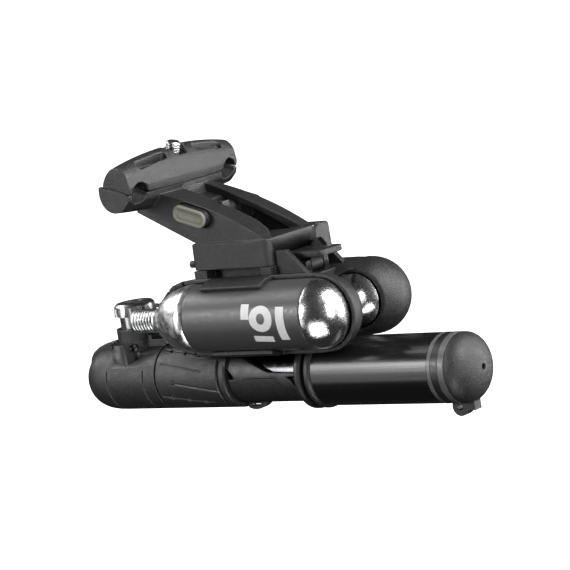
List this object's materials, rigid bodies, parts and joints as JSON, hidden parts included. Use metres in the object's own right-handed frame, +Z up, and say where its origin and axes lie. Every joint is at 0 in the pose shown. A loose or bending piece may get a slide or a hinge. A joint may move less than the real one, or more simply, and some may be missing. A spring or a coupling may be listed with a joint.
{
  "type": "mini pump",
  "caption": "Compact hand pump and gas cartridges in a slide-out carrier that hangs from bicycle saddle rails by a two-jaw clamp.",
  "frame": {"origin": "centre of the rail clamp, midway between the two saddle rail grooves on the parting plane", "axes": "+X along the pump towards its domed handle, +Y across to the left, +Z up; the clamp is pitched nose-down by 17.6 degrees"},
  "size_m": [0.1572, 0.054, 0.0918],
  "materials": {
    "arm_plastic": "fine matte moulding",
    "bar_plastic": "fine matte moulding",
    "bolt_steel": "machined thread",
    "nut_black": "black oxide",
    "button_rubber": "satin olive grey",
    "spring_steel": "plain wire",
    "carrier_plastic": "fine matte moulding",
    "cradle_plastic": "satin moulding",
    "cartridge_steel": "nickel plated",
    "label_film": "satin shrink film",
    "strap_rubber": "satin",
    "head_plastic": "satin moulding",
    "chuck_metal": "polished",
    "pin_steel": "plain",
    "grip_plastic": "fine matte moulding",
    "barrel_metal": "black anodised",
    "brass": "turned",
    "tube_gloss": "high gloss black",
    "ring_metal": "satin grey",
    "band_black": "satin",
    "cap_plastic": "fine matte moulding"
  },
  "bodies": {
    "mount": {"arm_bracket": "arm_plastic", "clamp_washer": "bolt_steel", "button_spring": "spring_steel"},
    "clamp_top": {"clamp_top_bar": "bar_plastic", "clamp_nut": "nut_black"},
    "bolt": {"clamp_bolt": "bolt_steel"},
    "button_left": {"side_button_left": "button_rubber"},
    "button_right": {"side_button_right": "button_rubber"},
    "carrier": {"carrier_frame": "carrier_plastic", "lever_pin": "pin_steel", "cradle_left": "cradle_plastic", "cradle_right": "cradle_plastic", "cartridge_left": "cartridge_steel", "cartridge_right": "cartridge_steel", "cartridge_seal_left": "cartridge_steel", "cartridge_seal_right": "cartridge_steel", "cartridge_label_left": "label_film", "cartridge_label_right": "label_film", "pump_clip": "carrier_plastic", "rubber_strap": "strap_rubber", "pump_head": "head_plastic", "lock_pin": "pin_steel", "chuck_stem": "chuck_metal", "head_screw": "pin_steel", "grip_sleeve": "grip_plastic", "grip_ring": "grip_plastic", "pump_barrel": "barrel_metal", "barrel_gland": "brass", "valve_seat": "brass", "check_valve": "strap_rubber"},
    "lever": {"release_lever": "carrier_plastic"},
    "lock": {"lock_lever": "head_plastic"},
    "knob": {"chuck_knob": "chuck_metal"},
    "handle": {"piston": "brass", "piston_ring": "strap_rubber", "piston_rod": "pin_steel", "flange_ring": "head_plastic", "handle_tube": "tube_gloss", "trim_ring_inner": "ring_metal", "band_ring": "band_black", "trim_ring_outer": "ring_metal", "dome_cap": "cap_plastic"}
  },
  "joints": [
    {"name": "bolt_turn", "type": "hinge", "parent": "mount", "child": "bolt", "pos_m": [0, 0, 0], "axis": [0.3024, 0, 0.9532], "range_deg": [0, 1800]},
    {"name": "clamp_lift", "type": "slide", "parent": "mount", "child": "clamp_top", "axis": [0.3024, 0, 0.9532], "range_m": [0, 0.004]},
    {"name": "button_left_press", "type": "slide", "parent": "mount", "child": "button_left", "axis": [0, -1, 0], "range_m": [0, 0.0015], "stiffness_N_per_m": 600, "springref_m": -0.001, "deforming": ["button_spring"]},
    {"name": "button_right_press", "type": "slide", "parent": "mount", "child": "button_right", "axis": [0, 1, 0], "range_m": [0, 0.0015], "stiffness_N_per_m": 600, "springref_m": -0.001, "deforming": ["button_spring"]},
    {"name": "carrier_slide", "type": "slide", "parent": "mount", "child": "carrier", "axis": [1, 0, 0], "range_m": [0, 0.028]},
    {"name": "lever_press", "type": "hinge", "parent": "carrier", "child": "lever", "pos_m": [0.052, 0, -0.031], "axis": [0, 1, 0], "range_deg": [0, 12], "stiffness_Nm_per_rad": 0.2, "springref_deg": -5.73},
    {"name": "lock_lever_swing", "type": "hinge", "parent": "carrier", "child": "lock", "pos_m": [-0.0344, 0, -0.0539], "axis": [0, 1, 0], "range_deg": [0, 90]},
    {"name": "knob_turn", "type": "hinge", "parent": "carrier", "child": "knob", "pos_m": [-0.0255, 0, -0.042], "axis": [0, 0, 1], "continuous": true},
    {"name": "handle_slide", "type": "slide", "parent": "carrier", "child": "handle", "axis": [1, 0, 0], "range_m": [0, 0.033]}
  ],
  "couplings": [
    {"joint": "bolt_turn", "follows": "clamp_lift", "rad_per_m": 7854}
  ]
}
